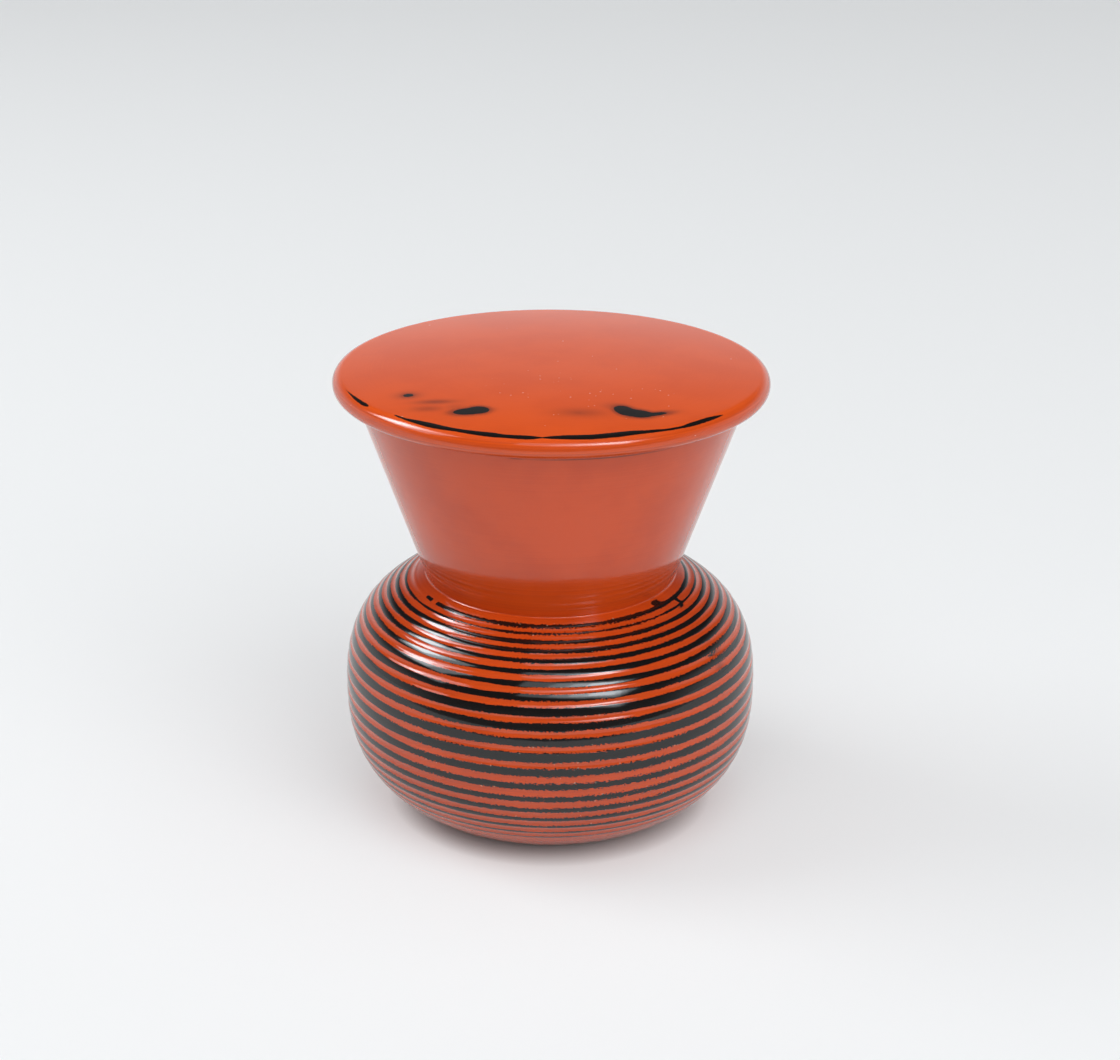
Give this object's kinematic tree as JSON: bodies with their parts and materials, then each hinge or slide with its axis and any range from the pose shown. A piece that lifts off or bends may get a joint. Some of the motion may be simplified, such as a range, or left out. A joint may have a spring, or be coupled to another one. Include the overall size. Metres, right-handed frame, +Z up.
{
  "type": "lacquer tea caddy",
  "caption": "Turned wooden tea caddy in red lacquer over black: a round belly with fine rings, a flared neck and a disc lid that lifts off.",
  "frame": {"origin": "middle of the underside, on the surface the caddy stands on", "axes": "+Z up along the turning axis, through the middle of the lid; -Y is the side the picture shows"},
  "size_m": [0.068, 0.068, 0.074],
  "materials": {
    "body_lacquer": "glossy red lacquer over black, rubbed through to black on the rings",
    "lid_lacquer": "glossy red lacquer over black, worn through to black along the front edge"
  },
  "bodies": {
    "root": {"body": "body_lacquer", "lid": "lid_lacquer"}
  },
  "joints": []
}
